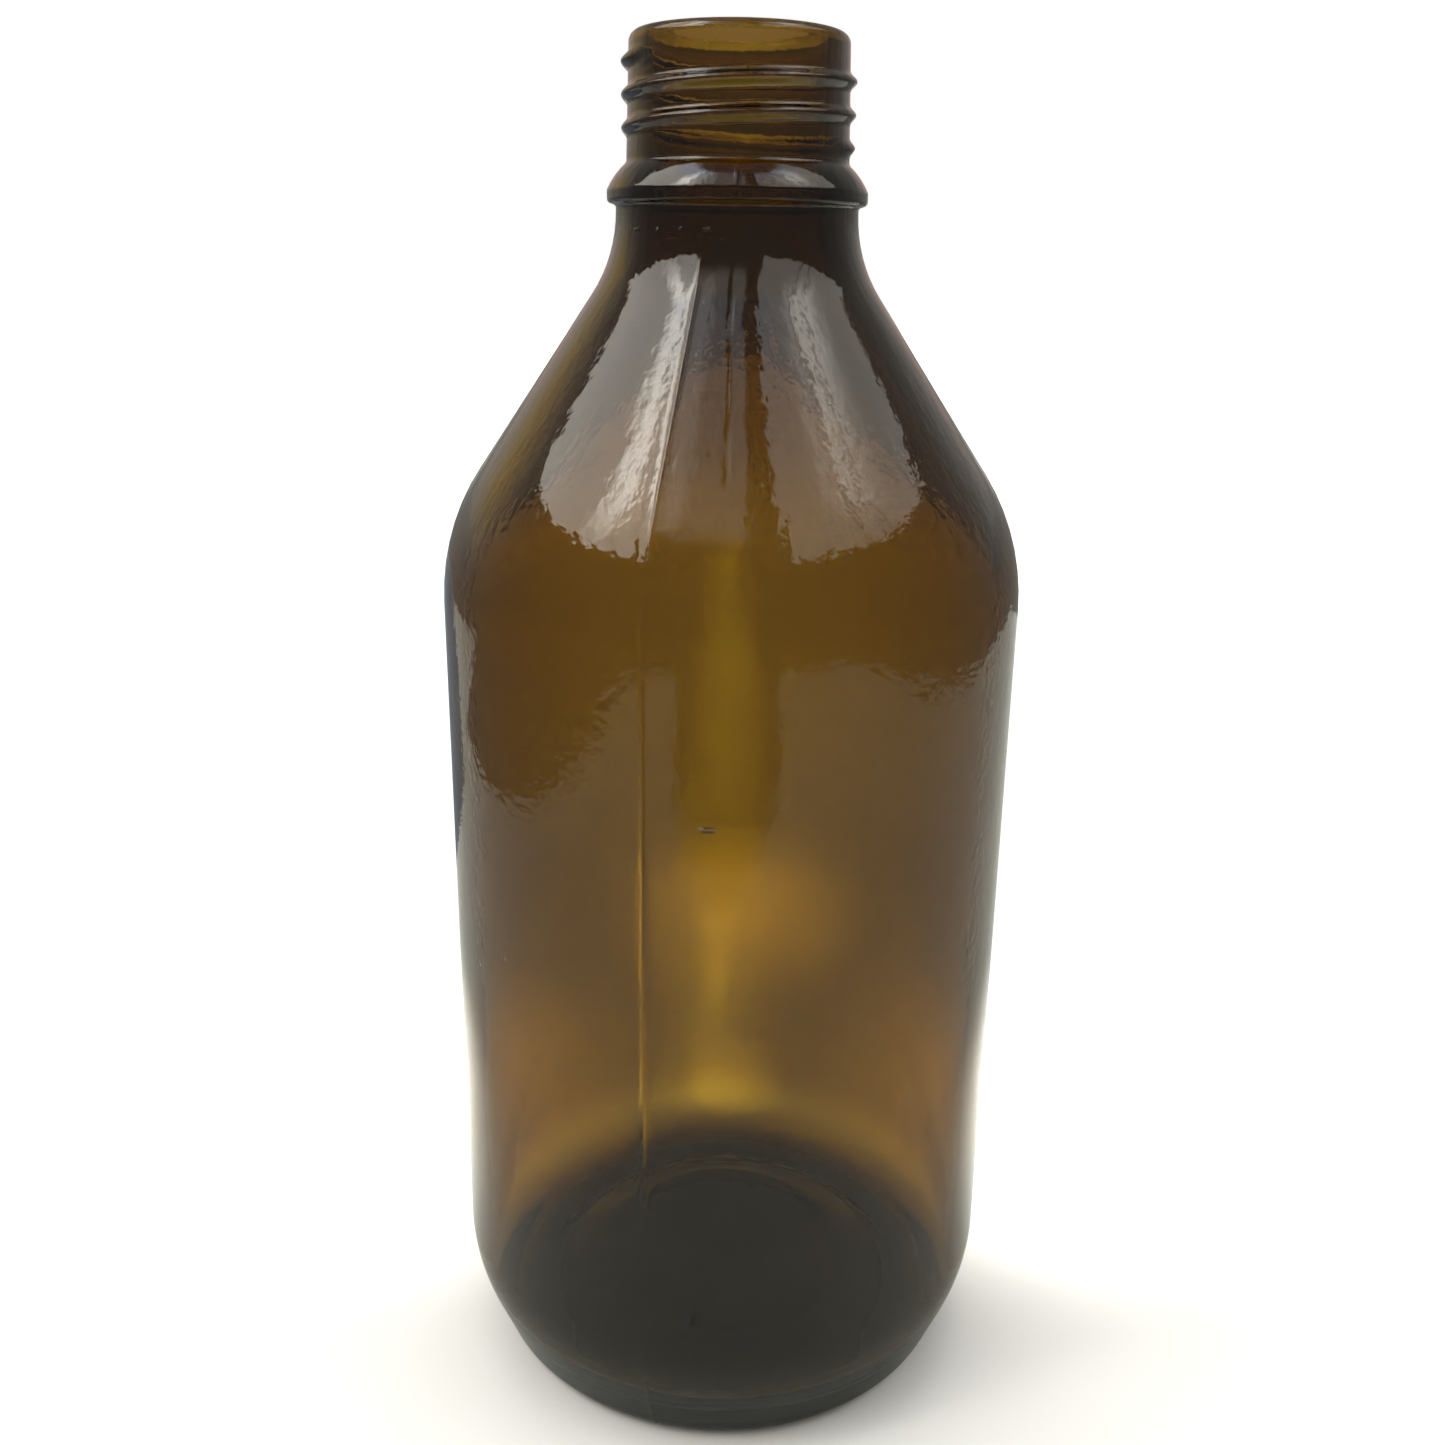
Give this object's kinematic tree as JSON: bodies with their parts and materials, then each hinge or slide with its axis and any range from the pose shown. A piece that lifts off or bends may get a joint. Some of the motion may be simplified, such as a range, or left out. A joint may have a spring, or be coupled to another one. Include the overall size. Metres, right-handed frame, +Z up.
{
  "type": "screw-neck amber glass bottle",
  "caption": "Empty amber glass soda bottle with a cylindrical body, sloping shoulder, screw-thread neck and open mouth.",
  "frame": {"origin": "centre of the bearing ring that the bottle stands on", "axes": "+Z up the bottle's axis to the mouth; -Y to the front, where one mould seam runs a little left of the middle"},
  "size_m": [0.0732, 0.0732, 0.172],
  "materials": {
    "amber_glass": "glossy moulded amber glass"
  },
  "bodies": {
    "root": {"glass_bottle": "amber_glass"}
  },
  "joints": []
}
